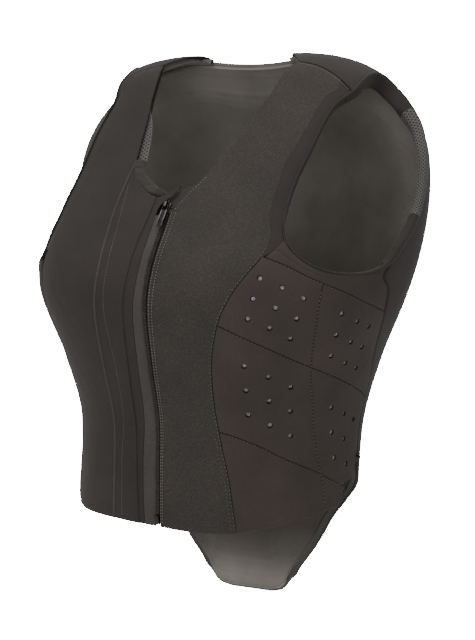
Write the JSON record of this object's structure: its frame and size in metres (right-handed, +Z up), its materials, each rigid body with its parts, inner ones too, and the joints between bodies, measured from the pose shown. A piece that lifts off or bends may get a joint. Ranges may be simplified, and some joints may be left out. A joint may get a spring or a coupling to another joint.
{
  "type": "riding body protector vest",
  "caption": "Sleeveless zip-front riding body protector with padded vented sides, shaped waist, deep armholes and a back plate that ends in a rounded tail.",
  "frame": {"origin": "midway between the shoulder straps, level with their undersides, where the vest rests on the shoulders", "axes": "+Z up, +X to the wearer's left, -Y out of the front"},
  "size_m": [0.3856, 0.2675, 0.5218],
  "materials": {
    "fabric": "matt stretch fabric",
    "knit": "fine brushed knit",
    "padding": "matt fabric over foam",
    "lining": "smooth satin lining",
    "mesh": "perforated lining",
    "binding": "smooth stretch binding",
    "zip_coil": "satin",
    "metal": "dark plated"
  },
  "bodies": {
    "vest": {"front_left": "knit", "front_right": "fabric", "flap_welt": "fabric", "storm_flap": "fabric", "zip_guard": "fabric", "zip_tape": "lining", "zip_teeth": "zip_coil", "neck_facing": "lining", "zip_tongue": "lining", "neck_binding": "mesh", "back_shell": "fabric", "back_plate": "lining", "zip_slider": "metal", "zip_box": "metal", "pad_upper_front_left": "padding", "pad_upper_rear_left": "padding", "pad_middle_front_left": "padding", "pad_middle_rear_left": "padding", "pad_lower_front_left": "padding", "pad_lower_rear_left": "padding", "underarm_left": "padding", "armhole_band_left": "binding", "strap_left": "fabric", "mesh_strip_left": "mesh", "armhole_lining_left": "binding", "pad_upper_front_right": "padding", "pad_upper_rear_right": "padding", "pad_middle_front_right": "padding", "pad_middle_rear_right": "padding", "pad_lower_front_right": "padding", "pad_lower_rear_right": "padding", "underarm_right": "padding", "armhole_band_right": "binding", "strap_right": "fabric", "mesh_strip_right": "mesh", "armhole_lining_right": "binding"},
    "zip_pull": {"zip_pull": "metal"}
  },
  "joints": [
    {"name": "pull_hinge", "type": "hinge", "parent": "vest", "child": "zip_pull", "pos_m": [0, -0.13892, -0.12433], "axis": [-1, 0, 0], "range_deg": [0, 160]}
  ]
}
